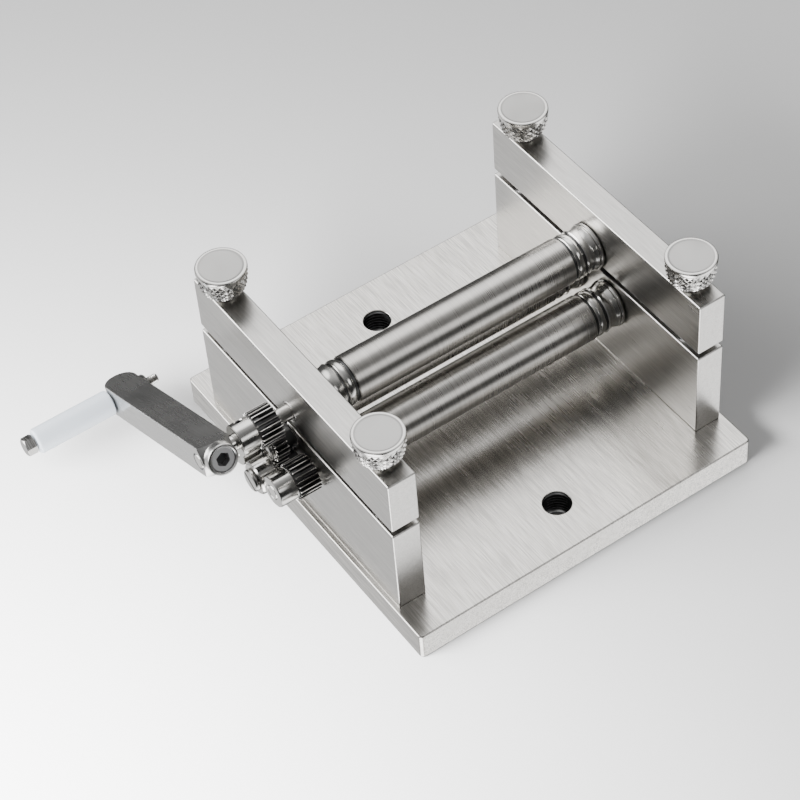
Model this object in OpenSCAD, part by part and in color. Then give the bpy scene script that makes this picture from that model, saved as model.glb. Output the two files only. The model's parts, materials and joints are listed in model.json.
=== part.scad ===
// Three-roller plate rolling machine for the bench.
// X runs along the rollers with the crank at -X, +Y is the rear and +Z is up.
// The origin is the middle of the base plate's underside.

/* [Base plate] */
// Width of the base plate, along the rollers
base_x = 125; // [124:1:150]
// Depth of the base plate, front to rear
base_y = 130; // [126:1:160]
// Thickness of the base plate
base_t = 10; // [9:0.5:14]
// Radius of the base plate's upright corners
base_corner_r = 1.5; // [1:0.5:6]
// Diameter of the two holes for bench bolts
bench_hole_d = 9; // [6:0.5:11]
// Distance between the two bench holes, front to rear
bench_hole_spacing = 97; // [90:1:104]
// Width of the bright broken edges on plates and bars
edge_break = 0.5; // [0.2:0.1:1]

/* [Stands] */
// Clear width between the two stands
stand_gap = 102.4; // [98:0.2:104]
// Thickness of the blocks and of the bars on them
stand_t = 9.6; // [9.2:0.1:10]
// Length of the blocks and the bars, front to rear
stand_y = 104; // [100:1:120]
// Height of the lower blocks
block_h = 33; // [32.6:0.2:36]
// Open slit between each block and its bar
split_gap = 2.2; // [1.6:0.1:2.4]
// Height of the upper bars
bar_h = 20; // [16:0.5:26]

/* [Rollers] */
// Diameter of the working length of each roller
roller_d = 15.5; // [12:0.1:17]
// Diameter of the end flanges of each roller
flange_d = 16; // [15.6:0.1:18]
// Diameter of the journals and of the shaft to the crank
journal_d = 5; // [4:0.1:5.4]
// Outer diameter of the plain bearing bushes
bush_d = 7; // [6.4:0.1:7.4]
// Distance between the two lower roller axes
roller_spread = 20.8; // [20:0.1:21.4]
// Height of the lower roller axes above the base plate
lower_axis_h = 23.5; // [22:0.1:24]
// Distance of the top roller axis behind the middle of the base
roller_line_y = 1; // [-4:0.5:4]
// Length of the flange at each end of a roller
flange_l = 1.6; // [1:0.1:3]
// Length of the polished band inside each flange
band_l = 4.6; // [3:0.1:6]
// Length of the polished ring between the band and the working length
ring_l = 3; // [2:0.1:4]
// Width of the two grooves beside that ring
groove_l = 0.7; // [0.4:0.05:1]
// Depth of the two grooves
groove_depth = 0.45; // [0.2:0.05:0.8]
// End play of a roller on each side
end_play = 0.3; // [0.2:0.05:0.5]

/* [Gears] */
// Teeth on the three roller gears and the low idler
gear_teeth = 22; // [20:1:23]
// Teeth on the high idler
idler_teeth = 18; // [17:1:19]
// Drop of the low idler axis under the lower roller axes
idler_drop = 3.6; // [3.2:0.1:4]
// Tooth height outside the pitch circle
tooth_add = 0.5; // [0.4:0.05:0.55]
// Tooth depth inside the pitch circle
tooth_ded = 0.8; // [0.8:0.05:0.9]
// Tooth thickness at the root
tooth_root_w = 0.76; // [0.6:0.02:0.78]
// Tooth thickness at the tip
tooth_tip_w = 0.3; // [0.2:0.02:0.34]
// Face width of the front and rear gears
gear_w = 7.4; // [7:0.1:8]
// Face width of the drive gear
drive_gear_w = 7.4; // [6:0.1:8]
// Distance that the drive gear stands further out than the front and rear gears
drive_gear_out = 4.4; // [4:0.1:4.8]
// Face width of the teeth on the two idlers
idler_face_w = 4; // [3.6:0.1:4.4]
// Diameter of the gear hubs
hub_d = 10.4; // [9:0.1:10.8]
// Length of the gear hubs
hub_l = 6.5; // [6:0.1:7.5]
// Diameter of the low idler's boss
boss_d = 10.8; // [9:0.1:11]
// Length of the low idler's boss
boss_l = 6.4; // [5:0.1:7]
// Diameter of the stud that the low idler turns on
low_stud_d = 4; // [3.6:0.1:4.4]
// Diameter of the slotted head on that stud
low_stud_head_d = 7.4; // [6:0.1:8.4]
// Diameter of the stud that the high idler turns on
high_stud_d = 3.2; // [2.6:0.1:3.6]
// Diameter of the slotted head on that stud
high_stud_head_d = 6; // [5:0.1:6.4]
// Thread diameter of the set screws in the hubs
set_screw_d = 2.5; // [2:0.1:3]

/* [Crank] */
// Distance from the roller axis to the handle axis
crank_r = 63; // [50:1:80]
// Angle of the arm below level, as it stands at rest
crank_drop = 23.5; // [0:0.5:90]
// Width of the arm, along the rollers
arm_w = 10.6; // [10.4:0.2:14]
// Height of the arm
arm_h = 10; // [9:0.2:12]
// Diameter of the clamping screw in the end of the arm
clamp_screw_d = 8; // [5:0.5:8]
// Diameter of the handle grip
grip_d = 8.4; // [7:0.2:14]
// Length of the handle grip
grip_l = 26.9; // [20:0.5:40]
// Diameter of the bolt that the grip turns on
handle_bolt_d = 3; // [2.5:0.5:4]
// Length of the bolt's end behind the arm
bolt_stub_l = 6.2; // [3:0.1:8]

/* [Thumb screws] */
// Distance of each thumb screw from the middle of its bar
thumb_y = 41.5; // [36:0.5:44]
// Diameter of the knurled heads
thumb_d = 16; // [12:0.5:18]
// Height of the knurled heads
thumb_h = 9.4; // [7:0.2:12]
// Thread diameter of the thumb screws
thumb_thread_d = 5; // [4:0.2:5.2]
// Depth of the thread in the lower block
thumb_depth = 23; // [15:1:24]

/* [Lifting springs] */
// Wire diameter
spring_wire_d = 0.8; // [0.6:0.05:0.9]
// Number of turns
spring_turns = 5; // [3:1:6]
// Depth of the spring's pocket in the block and in the bar
pocket_depth = 5; // [4:0.2:6]

/* [Fixings] */
// Diameter of the screws that hold the blocks from beneath
block_screw_d = 5; // [4:0.5:5]
// Distance of each block screw from the middle of its block
block_screw_y = 28; // [24:1:31]
// Diameter of the locating dowels
dowel_d = 3; // [2:0.5:4]
// Distance of each dowel from the middle of its block
dowel_y = 12; // [8:1:18]

/* [Hidden] */
$fn = 64;
// Cutters run past the faces that they open by this much
past = 1;

// Clearances on radius, and running gaps along an axis
press_clear = 0.01;
screw_clear = 0.03;
thread_clear = 0.05;
journal_clear = 0.05;
through_clear = 0.3;
grip_clear = 0.08;
face_clear = 0.3;
seat_clear = 0.2;

// Places of the stands
stand_in_x = stand_gap / 2;
stand_out_x = stand_in_x + stand_t;
stand_mid_x = stand_in_x + stand_t / 2;
block_top_z = base_t + block_h;
bar_z = block_top_z + split_gap;
bar_top_z = bar_z + bar_h;

// Gear sizes follow from the places of the lower rollers and the low idler
gear_pitch_r = norm([roller_spread / 2, idler_drop]) / 2;
gear_module = 2 * gear_pitch_r / gear_teeth;
idler_pitch_r = gear_module * idler_teeth / 2;
gear_tip_r = gear_pitch_r + tooth_add;
gear_root_r = gear_pitch_r - tooth_ded;
idler_tip_r = idler_pitch_r + tooth_add;
idler_root_r = idler_pitch_r - tooth_ded;
// The bars rise and fall, so the drive gear stands off full mesh by this much
mesh_slack = 0.3;

// Axes across the machine, as [y, z]
lower_z = base_t + lower_axis_h;
front_axis = [roller_line_y - roller_spread / 2, lower_z];
rear_axis = [roller_line_y + roller_spread / 2, lower_z];
low_idler_axis = [roller_line_y, lower_z - idler_drop];
high_idler_axis = low_idler_axis + [0, gear_pitch_r + idler_pitch_r];
top_axis = high_idler_axis + [0, gear_pitch_r + idler_pitch_r + mesh_slack];

// Stations along the gear train, counted outwards from the left stand
washer_t = 0.5;
gear_in_x = -stand_out_x - washer_t - face_clear;
gear_out_x = gear_in_x - gear_w;
idler_out_x = gear_out_x + face_clear;
idler_in_x = idler_out_x + idler_face_w;
relief_x = gear_out_x - face_clear;
drive_in_x = gear_in_x - drive_gear_out;
drive_out_x = drive_in_x - drive_gear_w;
drive_hub_x = drive_out_x - hub_l;
gear_hub_x = gear_out_x - hub_l;
boss_out_x = relief_x - boss_l;
low_neck_r = gear_root_r - 0.1;
high_neck_r = idler_root_r - 0.1;

// Crank stations
arm_in_x = drive_hub_x - 2;
arm_out_x = arm_in_x - arm_w;
arm_mid_x = (arm_in_x + arm_out_x) / 2;
arm_square_end = -3;
arm_near_end = -6.5;
shaft_flat = 0.4;
grip_in_x = arm_out_x - face_clear;
grip_out_x = grip_in_x - grip_l;
bolt_seat_x = grip_out_x - face_clear;
bolt_head_t = 3.5;
bolt_end_x = arm_in_x + bolt_stub_l;
nut_t = 2.4;
hex_af = 5.5 / 3 * handle_bolt_d;

// Idler studs
stud_head_t = 1.2;
stud_thread_l = 8;
stud_step = 0.8;

// Set screws stop short of the hub's surface by this much
set_screw_sink = 0.3;

// Directions from the lower roller axes to the low idler, whose first tooth points up
front_line = atan2(-idler_drop, roller_spread / 2);
rear_line = atan2(-idler_drop, -roller_spread / 2);
low_tooth = 90;

// Springs stand in pockets round the thumb screws
spring_r = thumb_thread_d / 2 + 0.2 + spring_wire_d / 2;
pocket_r = spring_r + spring_wire_d / 2 + 0.3;
spring_seat = 0.1;
spring_low = block_top_z - pocket_depth + spring_seat + spring_wire_d / 2;
spring_high = bar_z + pocket_depth - spring_seat - spring_wire_d / 2;
spring_sides = 6;
spring_rings = 8;
spring_steps = spring_turns * spring_rings;

// Block screws have their heads sunk in the underside of the base
screw_head_d = block_screw_d * 1.7;
screw_head_t = block_screw_d;
screw_sink = 0.4;
screw_reach = 12;
dowel_l = 12;

// A point on a circle
function polar(r, a) = [r * cos(a), r * sin(a)];

// Angle of a tooth on a gear that meshes with an equal one.
// line is the direction from this gear to the other, whose tooth stands at angle other
function meshed_tooth(line, other, teeth) = 2 * line + 180 + 180 / teeth - other;

// Outline of a toothed wheel with straight flanks and one tooth at angle first
function wheel_points(teeth, root_r, tip_r, first) = [
    for (i = [0:teeth - 1])
    let (mid = first + i * 360 / teeth)
    let (root = tooth_root_w / 2 / root_r * 180 / PI)
    let (tip = tooth_tip_w / 2 / tip_r * 180 / PI)
    for (p = [[root_r, -root], [tip_r, -tip], [tip_r, tip], [root_r, root]])
    polar(p[0], mid + p[1])
];

// Puts a shape drawn in X and Y, and rising in Z, across the machine and along X
module along_x(axis, x) {
    translate([x, axis[0], axis[1]]) rotate([90, 0, 90]) children();
}

// A round bar along X between two stations
module bar_x(axis, x0, x1, d) {
    along_x(axis, min(x0, x1)) cylinder(d = d, h = abs(x1 - x0));
}

// A turned piece along X, given as [station, radius] points from -X to +X
module turned_x(axis, profile) {
    first = profile[0];
    last = profile[len(profile) - 1];
    outline = concat([[0, first[0]]], [for (p = profile) [p[1], p[0]]], [[0, last[0]]]);
    translate([0, axis[0], axis[1]]) rotate([0, 90, 0]) rotate_extrude() polygon(outline);
}

// A hexagon prism along X
module hex_x(axis, x0, x1, af) {
    along_x(axis, min(x0, x1)) cylinder(d = af / cos(30), h = abs(x1 - x0), $fn = 6);
}

// A rectangle with its corners cut off at 45 degrees
module cut_corner_square(size, c) {
    x = size[0];
    y = size[1];
    polygon([[c, 0], [x - c, 0], [x, c], [x, y - c], [x - c, y], [c, y], [0, y - c], [0, c]]);
}

// A box with all its edges broken
module broken_box(size, c) {
    intersection() {
        linear_extrude(size[2]) cut_corner_square([size[0], size[1]], c);
        translate([0, size[1], 0]) rotate([90, 0, 0])
            linear_extrude(size[1]) cut_corner_square([size[0], size[2]], c);
        rotate([90, 0, 90]) linear_extrude(size[0]) cut_corner_square([size[1], size[2]], c);
    }
}

// A rectangle on the origin with round corners
module round_corner_square(x, y, r) {
    square([x - 2 * r, y], center = true);
    square([x, y - 2 * r], center = true);
    for (sx = [-1, 1], sy = [-1, 1])
        translate([sx * (x / 2 - r), sy * (y / 2 - r)]) circle(r);
}

// Does its children at each of the four thumb screws
module at_thumbs() {
    for (sx = [-1, 1], sy = [-1, 1]) translate([sx * stand_mid_x, sy * thumb_y, 0]) children();
}

module base_plate() color("silver") difference() {
    intersection() {
        linear_extrude(base_t) round_corner_square(base_x, base_y, base_corner_r);
        translate([-base_x / 2, -base_y / 2, 0]) broken_box([base_x, base_y, base_t], edge_break);
    }
    for (sy = [-1, 1]) translate([0, sy * bench_hole_spacing / 2, -past])
        cylinder(d = bench_hole_d, h = base_t + 2 * past);
    for (sx = [-1, 1], sy = [-1, 1]) {
        translate([sx * stand_mid_x, sy * block_screw_y, -past]) {
            cylinder(d = block_screw_d + 2 * through_clear, h = base_t + 2 * past);
            cylinder(d = screw_head_d + 2 * through_clear, h = past + screw_sink + screw_head_t);
        }
        translate([sx * stand_mid_x, sy * dowel_y, base_t - dowel_l / 2])
            cylinder(d = dowel_d + 2 * press_clear, h = dowel_l);
    }
}

// A lower block at x0, without what only the left one has
module block(x0) {
    mid_x = x0 + stand_t / 2;
    difference() {
        translate([x0, -stand_y / 2, base_t]) broken_box([stand_t, stand_y, block_h], edge_break);
        for (axis = [front_axis, rear_axis])
            bar_x(axis, x0 - past, x0 + stand_t + past, bush_d + 2 * press_clear);
        for (sy = [-1, 1]) {
            translate([mid_x, sy * thumb_y, block_top_z - thumb_depth - past])
                cylinder(d = thumb_thread_d + 2 * thread_clear, h = thumb_depth + 2 * past);
            translate([mid_x, sy * thumb_y, block_top_z - pocket_depth])
                cylinder(r = pocket_r, h = pocket_depth + past);
            translate([mid_x, sy * block_screw_y, base_t - past])
                cylinder(d = block_screw_d + 2 * screw_clear, h = screw_reach + 1 + past);
            translate([mid_x, sy * dowel_y, base_t - past])
                cylinder(d = dowel_d + 2 * press_clear, h = dowel_l / 2 + 0.5 + past);
        }
    }
}

module left_block() color("silver") difference() {
    block(-stand_out_x);
    for (stud = [[low_idler_axis, low_stud_d], [high_idler_axis, high_stud_d]])
        bar_x(stud[0], -stand_out_x - past, -stand_out_x + stud_thread_l,
            stud[1] - stud_step + 2 * screw_clear);
}

module right_block() color("silver") block(stand_in_x);

// An upper bar at x0
module bar(x0) {
    mid_x = x0 + stand_t / 2;
    difference() {
        translate([x0, -stand_y / 2, bar_z]) broken_box([stand_t, stand_y, bar_h], edge_break);
        bar_x(top_axis, x0 - past, x0 + stand_t + past, bush_d + 2 * press_clear);
        for (sy = [-1, 1]) translate([mid_x, sy * thumb_y, bar_z - past]) {
            cylinder(d = thumb_thread_d + 2 * through_clear, h = bar_h + 2 * past);
            cylinder(r = pocket_r, h = pocket_depth + past);
        }
    }
}

module left_bar() color("silver") bar(-stand_out_x);

module right_bar() color("silver") bar(stand_in_x);

// Socket head screws up through the base plate
module block_screws() color("dimgray")
    for (sx = [-1, 1], sy = [-1, 1])
        translate([sx * stand_mid_x, sy * block_screw_y, screw_sink]) difference() {
            union() {
                cylinder(d = screw_head_d, h = screw_head_t);
                cylinder(d = block_screw_d, h = base_t + screw_reach - screw_sink);
            }
            translate([0, 0, -past]) cylinder(d = 0.92 * block_screw_d, h = past + 2.5, $fn = 6);
        }

module block_dowels() color("gray")
    for (sx = [-1, 1], sy = [-1, 1])
        translate([sx * stand_mid_x, sy * dowel_y, base_t - dowel_l / 2])
            cylinder(d = dowel_d, h = dowel_l);

// A plain bearing bush, flush with both faces of its stand
module bush(axis, x0) difference() {
    bar_x(axis, x0, x0 + stand_t, bush_d);
    bar_x(axis, x0 - past, x0 + stand_t + past, journal_d + 2 * journal_clear);
}

module block_bushes() color("peru")
    for (x0 = [-stand_out_x, stand_in_x], axis = [front_axis, rear_axis]) bush(axis, x0);

module bar_bushes() color("peru") for (x0 = [-stand_out_x, stand_in_x]) bush(top_axis, x0);

// Rings of a wire that climbs in a helix, and the skin of triangles over them
function spring_mid(k) = concat(polar(spring_r, 360 * k / spring_rings),
    spring_low + (spring_high - spring_low) * k / spring_steps);
function spring_ring(k) = [
    for (j = [0:spring_sides - 1])
    let (turn = 360 * k / spring_rings, side = polar(spring_wire_d / 2, 360 * j / spring_sides))
    concat(polar(spring_r + side[0], turn), spring_mid(k)[2] + side[1])
];
function skin_pair(a, b, c, d) = [[a, b, c], [a, c, d]];
spring_points = [for (k = [0:spring_steps]) each spring_ring(k)];
spring_faces = concat(
    [for (k = [0:spring_steps - 1], j = [0:spring_sides - 1])
        let (a = k * spring_sides + j, b = k * spring_sides + (j + 1) % spring_sides)
        each skin_pair(a, b, b + spring_sides, a + spring_sides)],
    [for (j = [1:spring_sides - 2]) [0, j + 1, j]],
    [for (j = [1:spring_sides - 2]) [0, j, j + 1] + [1, 1, 1] * spring_steps * spring_sides]
);
// Least gap of the wire to itself, from ring middles over half a turn apart
spring_gap = min([
    for (i = [0:spring_steps], k = [i + spring_rings / 2:1:spring_steps])
    norm(spring_mid(k) - spring_mid(i))
]) - spring_wire_d;
echo(spring_gap = spring_gap);  // lift_springs

module lift_springs() color("darkgray")
    at_thumbs() polyhedron(spring_points, spring_faces, convexity = 10);

// One end of a roller from its working length out: groove, ring, groove, band and flange
function roller_end() = let (
    r = roller_d / 2,
    f = flange_d / 2,
    low_r = r - groove_depth,
    end_x = stand_in_x - end_play,
    flange_x = end_x - flange_l,
    band_x = flange_x - band_l,
    ring_x = band_x - groove_l - ring_l
) [
    [ring_x - groove_l, r], [ring_x - groove_l, low_r], [ring_x, low_r], [ring_x, r],
    [band_x - groove_l, r], [band_x - groove_l, low_r], [band_x, low_r], [band_x, r],
    [flange_x, r], [flange_x, f], [end_x - edge_break / 2, f], [end_x, f - edge_break / 2]
];

// Both ends alike, from -X to +X
function roller_profile() = let (half = roller_end(), last = len(half) - 1)
    concat([for (i = [last:-1:0]) [-half[i][0], half[i][1]]], half);

// A roller with its journals, from shaft_x on the crank side to just inside the far face
module roller(axis, shaft_x) {
    turned_x(axis, roller_profile());
    turned_x(axis, [
        [shaft_x, journal_d / 2 - 0.3], [shaft_x + 0.3, journal_d / 2],
        [stand_out_x - 0.5, journal_d / 2], [stand_out_x - 0.2, journal_d / 2 - 0.3]
    ]);
}

// Turns its children with the crank arm: local +Y runs along the arm from the roller axis
module with_crank() {
    translate([0, top_axis[0], top_axis[1]]) rotate([-crank_drop, 0, 0]) children();
}

module top_roller() color("silver") difference() {
    roller(top_axis, arm_out_x);
    with_crank() translate([arm_out_x - past, -journal_d, -journal_d])
        cube([arm_w + past, journal_d / 2 + shaft_flat, 2 * journal_d]);
}

module front_roller() color("silver") roller(front_axis, gear_hub_x);

module rear_roller() color("silver") roller(rear_axis, gear_hub_x);

// Teeth between two stations, with one tooth at angle first
module teeth(axis, x0, x1, count, root_r, tip_r, first) {
    along_x(axis, min(x0, x1)) linear_extrude(abs(x1 - x0))
        polygon(wheel_points(count, root_r, tip_r, first));
}

// A hub along X with its outer edge broken
module hub(axis, x0, x1, d) {
    turned_x(axis, [[x0, d / 2 - edge_break], [x0 + edge_break, d / 2], [x1, d / 2]]);
}

// A gear with a hub towards -X, bored for a journal and drilled for its set screw
module roller_gear(axis, x_in, x_out, first, screw_angle) difference() {
    union() {
        teeth(axis, x_out, x_in, gear_teeth, gear_root_r, gear_tip_r, first);
        hub(axis, x_out - hub_l, x_out, hub_d);
    }
    bar_x(axis, x_out - hub_l - past, x_in + past, journal_d + 2 * screw_clear);
    set_screw_place(axis, x_out, screw_angle)
        cylinder(d = set_screw_d + 2 * screw_clear, h = hub_d);
}

// Stands the children's +Z on the hub's middle, pointing out at an angle across the machine
module set_screw_place(axis, x_out, angle) {
    along_x(axis, x_out - hub_l / 2) rotate([0, 90, angle]) children();
}

module set_screw(axis, x_out, angle) {
    low = journal_d / 2 + screw_clear;
    screw_l = hub_d / 2 - set_screw_sink - low;
    set_screw_place(axis, x_out, angle) translate([0, 0, low]) difference() {
        cylinder(d = set_screw_d, h = screw_l);
        translate([0, 0, screw_l / 2])
            cylinder(d = 0.56 * set_screw_d, h = screw_l / 2 + past, $fn = 6);
    }
}

// The drive gear has a tooth straight down into the high idler
module drive_gear() color("silver") roller_gear(top_axis, drive_in_x, drive_out_x, -90, 60);

module drive_gear_screw() color("dimgray") set_screw(top_axis, drive_out_x, 60);

module front_gear() color("silver")
    roller_gear(front_axis, gear_in_x, gear_out_x,
        meshed_tooth(front_line, low_tooth, gear_teeth), 250);

module front_gear_screw() color("dimgray") set_screw(front_axis, gear_out_x, 250);

module rear_gear() color("silver")
    roller_gear(rear_axis, gear_in_x, gear_out_x,
        meshed_tooth(rear_line, low_tooth, gear_teeth), 290);

module rear_gear_screw() color("dimgray") set_screw(rear_axis, gear_out_x, 290);

// Idler that turns both lower rollers alike: teeth between two necks, and a boss
module low_idler() color("silver") difference() {
    union() {
        bar_x(low_idler_axis, relief_x, gear_in_x, 2 * low_neck_r);
        teeth(low_idler_axis, idler_out_x, idler_in_x, gear_teeth,
            gear_root_r, gear_tip_r, low_tooth);
        hub(low_idler_axis, boss_out_x, relief_x, boss_d);
    }
    bar_x(low_idler_axis, boss_out_x - past, gear_in_x + past, low_stud_d + 2 * journal_clear);
}

// Idler between the drive gear and the low idler, with a gap where each has a tooth
module high_idler() color("silver") difference() {
    union() {
        bar_x(high_idler_axis, idler_in_x, gear_in_x, 2 * high_neck_r);
        teeth(high_idler_axis, gear_out_x, idler_in_x, idler_teeth,
            idler_root_r, idler_tip_r, 90 + 180 / idler_teeth);
    }
    bar_x(high_idler_axis, gear_out_x - past, gear_in_x + past,
        high_stud_d + 2 * journal_clear);
}

// A slotted shoulder screw that carries an idler
module idler_stud(axis, gear_out, stud_d, head_d) {
    head_x = gear_out - face_clear;
    slot_w = 1;
    difference() {
        union() {
            bar_x(axis, head_x, -stand_out_x, stud_d);
            bar_x(axis, -stand_out_x, -stand_out_x + stud_thread_l - seat_clear,
                stud_d - stud_step);
            hub(axis, head_x - stud_head_t, head_x, head_d);
        }
        along_x(axis, head_x - stud_head_t - past) rotate(35)
            translate([-head_d, -slot_w / 2, 0])
            cube([2 * head_d, slot_w, past + 0.6 * stud_head_t]);
    }
}

module low_idler_stud() color("silver")
    idler_stud(low_idler_axis, boss_out_x, low_stud_d, low_stud_head_d);

module high_idler_stud() color("silver")
    idler_stud(high_idler_axis, gear_out_x, high_stud_d, high_stud_head_d);

module idler_washers() color("gray")
    for (w = [[low_idler_axis, low_stud_d, 2 * low_neck_r],
              [high_idler_axis, high_stud_d, 2 * high_neck_r]])
        difference() {
            bar_x(w[0], -stand_out_x - washer_t, -stand_out_x, w[2]);
            bar_x(w[0], -stand_out_x - washer_t - past, -stand_out_x + past,
                w[1] + 2 * journal_clear);
        }

// Square arm with a round nose at the handle and a round end for its clamping screw
module crank_arm() color("silver") with_crank() difference() {
    union() {
        translate([arm_out_x, crank_r, -arm_h / 2]) rotate([90, 0, 0])
            linear_extrude(crank_r - arm_square_end) cut_corner_square([arm_w, arm_h], edge_break);
        translate([arm_mid_x, crank_r, -arm_h / 2]) rotate_extrude()
            polygon([[0, 0], [arm_w / 2 - edge_break, 0], [arm_w / 2, edge_break],
                [arm_w / 2, arm_h - edge_break], [arm_w / 2 - edge_break, arm_h], [0, arm_h]]);
        translate([arm_mid_x, arm_square_end, 0]) rotate([90, 0, 0])
            rotate_extrude() polygon([[0, -past], [arm_h / 2, -past],
                [arm_h / 2, arm_square_end - arm_near_end - edge_break],
                [arm_h / 2 - edge_break, arm_square_end - arm_near_end],
                [0, arm_square_end - arm_near_end]]);
    }
    bar_x([0, 0], arm_out_x - past, arm_in_x + past, journal_d + 2 * screw_clear);
    bar_x([crank_r, 0], arm_out_x - past, arm_in_x + past, handle_bolt_d + 2 * screw_clear);
    translate([arm_mid_x, 0, 0]) rotate([90, 0, 0])
        cylinder(d = clamp_screw_d + 2 * screw_clear, h = past - arm_near_end);
}

// Hexagon socket set screw that bears on the flat of the shaft
module crank_screw() color("dimgray") with_crank()
    translate([arm_mid_x, arm_near_end + 0.3, 0]) rotate([-90, 0, 0]) difference() {
        screw_l = -arm_near_end - 0.3 - journal_d / 2 + shaft_flat - screw_clear;
        cylinder(d = clamp_screw_d, h = screw_l);
        translate([0, 0, -past]) cylinder(d = clamp_screw_d / 2 / cos(30), h = past + 2.4, $fn = 6);
    }

// Bolt with a long hexagon head, screwed through the arm
module handle_bolt() color("silver") with_crank() {
    hex_x([crank_r, 0], bolt_seat_x - bolt_head_t, bolt_seat_x, hex_af);
    bar_x([crank_r, 0], bolt_seat_x, bolt_end_x, handle_bolt_d);
}

module handle_nut() color("silver") with_crank() difference() {
    hex_x([crank_r, 0], arm_in_x, arm_in_x + nut_t, hex_af);
    bar_x([crank_r, 0], arm_in_x - past, arm_in_x + nut_t + past,
        handle_bolt_d + 2 * screw_clear);
}

// Plastic sleeve that turns on the bolt
module handle_grip() color("aliceblue") with_crank() difference() {
    turned_x([crank_r, 0], [
        [grip_out_x, grip_d / 2 - 0.8], [grip_out_x + 0.3, grip_d / 2 - 0.3],
        [grip_out_x + 0.9, grip_d / 2], [grip_in_x - 0.9, grip_d / 2],
        [grip_in_x - 0.3, grip_d / 2 - 0.3], [grip_in_x, grip_d / 2 - 0.8]
    ]);
    bar_x([crank_r, 0], grip_out_x - past, grip_in_x + past, handle_bolt_d + 2 * grip_clear);
}

// Thumb screw with a bowl-shaped head, dished on top, over a plain neck
module thumb_screw(sx, sy) {
    r = thumb_d / 2;
    seat_z = bar_top_z + seat_clear;
    head_z = seat_z + 1.4;
    top_z = head_z + thumb_h;
    bowl_h = 0.68 * thumb_h;
    bowl = [for (a = [0:15:90]) [r * (0.7 + 0.3 * sin(a)), head_z + bowl_h * (1 - cos(a))]];
    color("silver") translate([sx * stand_mid_x, sy * thumb_y, 0]) {
        rotate_extrude() polygon(concat(
            [[0, head_z]], bowl,
            [[r, top_z - 1.2], [r - 0.5, top_z - 0.3], [r - 0.8, top_z],
             [r - 1.3, top_z], [r - 1.8, top_z - 0.2], [0, top_z - 0.2]]));
        translate([0, 0, seat_z]) cylinder(d = 0.56 * thumb_d, h = head_z - seat_z + 0.1);
        tip_z = block_top_z - thumb_depth;
        translate([0, 0, tip_z]) cylinder(d = thumb_thread_d, h = head_z - tip_z);
    }
}

module thumb_screw_left_front() thumb_screw(-1, -1);

module thumb_screw_left_rear() thumb_screw(-1, 1);

module thumb_screw_right_front() thumb_screw(1, -1);

module thumb_screw_right_rear() thumb_screw(1, 1);

base_plate();
left_block();
right_block();
left_bar();
right_bar();
block_screws();
block_dowels();
block_bushes();
bar_bushes();
lift_springs();
top_roller();
front_roller();
rear_roller();
drive_gear();
drive_gear_screw();
front_gear();
front_gear_screw();
rear_gear();
rear_gear_screw();
low_idler();
low_idler_stud();
high_idler();
high_idler_stud();
idler_washers();
crank_arm();
crank_screw();
handle_bolt();
handle_nut();
handle_grip();
thumb_screw_left_front();
thumb_screw_left_rear();
thumb_screw_right_front();
thumb_screw_right_rear();
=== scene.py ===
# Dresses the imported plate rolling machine, piece by piece, in metres on the frame's own places.
import json
import math

import bmesh
import bpy
from mathutils import Matrix, Vector


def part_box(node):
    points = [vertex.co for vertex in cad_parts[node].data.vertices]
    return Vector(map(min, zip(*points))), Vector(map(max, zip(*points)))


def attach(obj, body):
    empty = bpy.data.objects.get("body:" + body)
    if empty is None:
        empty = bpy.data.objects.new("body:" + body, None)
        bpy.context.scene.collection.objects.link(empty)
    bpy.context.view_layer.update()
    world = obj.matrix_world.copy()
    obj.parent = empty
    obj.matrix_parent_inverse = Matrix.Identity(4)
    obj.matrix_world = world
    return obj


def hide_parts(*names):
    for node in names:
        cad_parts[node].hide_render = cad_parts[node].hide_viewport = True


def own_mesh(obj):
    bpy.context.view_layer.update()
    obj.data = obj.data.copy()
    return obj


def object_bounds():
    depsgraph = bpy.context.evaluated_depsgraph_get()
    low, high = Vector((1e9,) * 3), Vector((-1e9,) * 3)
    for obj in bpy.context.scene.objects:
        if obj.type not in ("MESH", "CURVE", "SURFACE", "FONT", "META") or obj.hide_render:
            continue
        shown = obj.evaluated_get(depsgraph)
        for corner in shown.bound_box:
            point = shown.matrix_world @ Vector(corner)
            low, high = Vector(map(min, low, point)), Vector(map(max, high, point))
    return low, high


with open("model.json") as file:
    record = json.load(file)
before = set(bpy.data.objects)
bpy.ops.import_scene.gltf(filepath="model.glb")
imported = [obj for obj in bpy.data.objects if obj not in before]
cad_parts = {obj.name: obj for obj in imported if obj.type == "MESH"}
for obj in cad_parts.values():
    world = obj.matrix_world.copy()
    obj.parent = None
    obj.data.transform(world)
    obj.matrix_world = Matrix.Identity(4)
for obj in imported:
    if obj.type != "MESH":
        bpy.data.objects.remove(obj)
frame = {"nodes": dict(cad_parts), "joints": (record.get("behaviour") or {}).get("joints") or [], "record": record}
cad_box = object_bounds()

# Base plate: 10 mm stainless plate, brushed from front to rear, with its edges broken bright.
# Two drilled and tapped holes take the bench bolts; sunk screws and dowels from beneath
# carry the two blocks.
MM = 0.001
ALONG = {"x": Vector((1, 0, 0)), "y": Vector((0, 1, 0)), "z": Vector((0, 0, 1))}
ACROSS = {"x": Vector((0, 0, 1)), "y": Vector((1, 0, 0)), "z": Vector((1, 0, 0))}


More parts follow.
